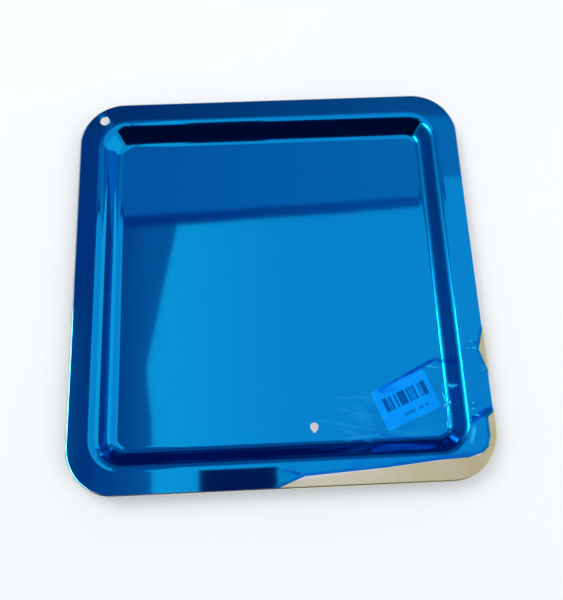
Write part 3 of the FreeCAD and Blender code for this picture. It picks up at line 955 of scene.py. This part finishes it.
def add_cards(height):
    """Everything that the polished pan mirrors, in metres: one big softbox with dimmer panels round it."""
    near = -0.47
    far = 1.5
    right = 1.6
    panels_left = -0.62
    strip_right = -0.75
    strip_left = -1.25
    strip_end = 0.38

    # The softbox's left edge leans, and a narrow dark gap runs along its far edge.
    left_edge = [(-0.415, near), (-0.43, -0.02), (-0.452, 0.166), (-0.345, 0.70)]
    far_corner = [(0.6, 0.84), (right, 0.88)]
    add_overhead(
        "softbox", [*left_edge, (0.6, 0.735), *far_corner, (right, near)], height,
        (0.95, 0.93, 0.96), ("X", -0.35, 0.05, (0.75, 0.73, 0.86)),
    )
    add_overhead(
        "gap", [(panels_left, 0.69), (0.6, 0.735), (0.6, 0.779), (panels_left, 0.738)], height,
        (0.1, 0.08, 0.27), ("X", -0.3, 0.6, (0.2, 0.18, 0.37)),
    )
    add_overhead(
        "far_panel",
        [(panels_left, 0.738), (0.6, 0.779), *far_corner, (right, 1.12), (panels_left, 1.10)],
        height, (0.3, 0.29, 0.50), ("X", -0.4, 0.75, (0.45, 0.42, 0.60)),
    )
    add_overhead(
        "far_end", [(strip_right, 1.10), (right, 1.12), (right, far), (strip_right, far)], height,
        (0.1, 0.08, 0.18), ("X", -0.5, 0.55, (0.23, 0.2, 0.33)),
    )
    add_overhead(
        "left_panel", [(panels_left, near), *left_edge, (panels_left, 0.69)], height,
        (0.15, 0.15, 0.32), ("X", -0.56, -0.44, (0.25, 0.26, 0.43)),
    )
    add_overhead(
        "left_end",
        [(strip_right, near), (panels_left, near), (panels_left, 1.10), (strip_right, 1.10)],
        height, (0.1, 0.09, 0.24),
    )
    # Past the left end hang a bright strip on the near side and a dim one on the far side.
    add_overhead(
        "strip_light",
        [(strip_left, near), (strip_right, near), (strip_right, strip_end), (strip_left, strip_end)],
        height, (10.5, 10.0, 9.2),
    )
    add_overhead(
        "dim_strip",
        [(strip_left, strip_end), (strip_right, strip_end), (strip_right, far), (strip_left, far)],
        height, (0.3, 0.3, 0.42),
    )

    # Uprights stand at the left, far and right. The right one is dark at its foot.
    add_upright(
        "left_flag", (-1.3, -1.2), (-1.3, 1.6), 0.02, height,
        (0.03, 0.045, 0.18), ("Z", 0.35, height, (0.7, 0.7, 0.8)),
    )
    add_upright(
        "far_flag", (-1.2, far), (1.2, far), 0.02, height,
        (0.01, 0.015, 0.09), ("Z", 0.45, height, (0.25, 0.27, 0.45)),
    )
    foot = 0.12
    add_upright("right_card", (right, -1.2), (right, 0.85), foot, height, (1.0, 1.0, 1.0))
    add_upright("right_far_card", (right, 0.85), (right, far), foot, height, (0.3, 0.28, 0.5))
    add_upright("right_base", (right, -1.2), (right, far), 0.01, foot, (0.06, 0.08, 0.25))

    # The front is dark where whoever holds the camera stands, and their hands hide part of the softbox.
    front_left = (-0.6, -0.62)
    front_right = (0.45, -0.62)
    front_top = 0.9
    add_upright("front_flag", front_left, front_right, 0.16, front_top, (0.001, 0.002, 0.01))
    add_card(
        "lean_flag",
        [(*front_left, front_top), (*front_right, front_top), (0.45, near, height), (-0.6, near, height)],
        (0.01, 0.015, 0.05),
    )
    just_under = 0.01
    add_overhead(
        "hands", [(-0.265, near), (-0.265, -0.17), (-0.005, -0.17), (-0.005, near)], height - just_under,
        (0.01, 0.015, 0.08),
    )


def add_lamp(name, place, size, power):
    """A soft square area lamp that mirrors don't see, aimed at the pan."""
    deselect()
    bpy.ops.object.light_add(type="AREA", location=place)
    lamp = bpy.context.object
    lamp.name = name
    lamp.data.size = size
    lamp.data.energy = power
    lamp.rotation_euler = Vector(place).to_track_quat("Z", "Y").to_euler()
    lamp.visible_glossy = False
    return lamp


def add_camera(stage):
    """The camera, aimed at the flange's plane and rolled a little."""
    back = Vector((
        math.sin(stage.azimuth) * math.cos(stage.elevation),
        -math.cos(stage.azimuth) * math.cos(stage.elevation),
        math.sin(stage.elevation),
    ))
    deselect()
    bpy.ops.object.camera_add(location=Vector(stage.aim) + back * stage.distance)
    camera = bpy.context.object
    camera.rotation_mode = "QUATERNION"
    roll = Matrix.Rotation(stage.roll, 3, back).to_quaternion()
    camera.rotation_quaternion = roll @ (-back).to_track_quat("-Z", "Y")
    camera.data.sensor_width = 36
    camera.data.lens = stage.lens
    camera.data.clip_start = 10 * MM
    bpy.context.scene.camera = camera
    return camera


def make_stage(stage, finish):
    """Floor, world, lamps, mirror cards and camera."""
    scene = bpy.context.scene
    scene.view_settings.view_transform = "Standard"
    # Light that mirrors to and fro in the wall crosses the film's two faces again each time.
    scene.cycles.transparent_max_bounces = 24
    deselect()
    bpy.ops.mesh.primitive_plane_add(size=8)
    floor = bpy.context.object
    name_piece(floor, "studio_floor")
    give(floor, studio_floor(finish))

    world = bpy.data.worlds.new("studio")
    scene.world = world
    world.use_nodes = True
    background = world.node_tree.nodes["Background"]
    background.inputs["Color"].default_value = (0.80, 0.85, 0.90, 1)
    background.inputs["Strength"].default_value = 0.82

    add_lamp("key_lamp", place=(-0.9, 0.9, 1.5), size=1.2, power=16)
    add_lamp("fill_lamp", place=(1.1, -0.4, 1.3), size=1.4, power=10)

    add_cards(stage.card_height)
    add_camera(stage)


# Operators --------------------------------------------------------------------


class MUDPAN_OT_press_pan(Operator):
    """Press the steel pan from one sheet"""

    bl_idname = "mud_pan.press_pan"
    bl_label = "Press Pan"

    def execute(self, context):
        piece = make_pan(context.scene.mud_pan_sizes)
        give(piece, polished_stainless(context.scene.mud_pan_finishes))
        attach(piece, "root")
        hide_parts("pan")
        return {"FINISHED"}


class MUDPAN_OT_lay_film(Operator):
    """Lay the blue film over the pan and tear its corner back"""

    bl_idname = "mud_pan.lay_film"
    bl_label = "Lay Film"

    def execute(self, context):
        piece = make_film(context.scene.mud_pan_sizes, context.scene.mud_pan_film)
        give(piece, blue_film(context.scene.mud_pan_finishes))
        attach(piece, "root")
        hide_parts("protective_film")
        return {"FINISHED"}


class MUDPAN_OT_print_label(Operator):
    """Give the paper label its printed bars"""

    bl_idname = "mud_pan.print_label"
    bl_label = "Print Label"

    def execute(self, context):
        middle = (LABEL_LOW + LABEL_HIGH) / 2
        paper = label_paper(context.scene.mud_pan_finishes, middle, math.radians(LABEL_TURN))
        give(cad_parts["barcode_label"], paper)
        return {"FINISHED"}


class MUDPAN_OT_set_stage(Operator):
    """Set up the floor, lamps, mirror cards and camera"""

    bl_idname = "mud_pan.set_stage"
    bl_label = "Set Stage"

    def execute(self, context):
        make_stage(context.scene.mud_pan_stage, context.scene.mud_pan_finishes)
        return {"FINISHED"}


class VIEW3D_PT_mud_pan(Panel):
    """Lists the pan's sizes and the steps that build it"""

    bl_label = "Mud Pan"
    bl_space_type = "VIEW_3D"
    bl_region_type = "UI"
    bl_category = "Mud Pan"

    def draw(self, context):
        for step in STEPS:
            self.layout.operator(step.bl_idname)
        for group in SETTINGS:
            box = self.layout.box()
            box.label(text=group.__doc__)
            for name in group.__annotations__:
                box.prop(getattr(context.scene, SETTINGS[group]), name)


STEPS = (MUDPAN_OT_press_pan, MUDPAN_OT_lay_film, MUDPAN_OT_print_label, MUDPAN_OT_set_stage)
SETTINGS = {
    PanSizes: "mud_pan_sizes",
    FilmSizes: "mud_pan_film",
    Finishes: "mud_pan_finishes",
    StageSettings: "mud_pan_stage",
}


def register():
    """Register the settings, the steps and the panel."""
    for group, name in SETTINGS.items():
        bpy.utils.register_class(group)
        setattr(bpy.types.Scene, name, PointerProperty(type=group))
    for item in (*STEPS, VIEW3D_PT_mud_pan):
        bpy.utils.register_class(item)


def unregister():
    """Remove the panel, the steps and the settings."""
    for item in (VIEW3D_PT_mud_pan, *reversed(STEPS)):
        bpy.utils.unregister_class(item)
    for group, name in SETTINGS.items():
        delattr(bpy.types.Scene, name)
        bpy.utils.unregister_class(group)


def main():
    register()
    bpy.ops.mud_pan.press_pan()
    bpy.ops.mud_pan.lay_film()
    bpy.ops.mud_pan.print_label()
    bpy.ops.mud_pan.set_stage()


if __name__ == "__main__":
    main()
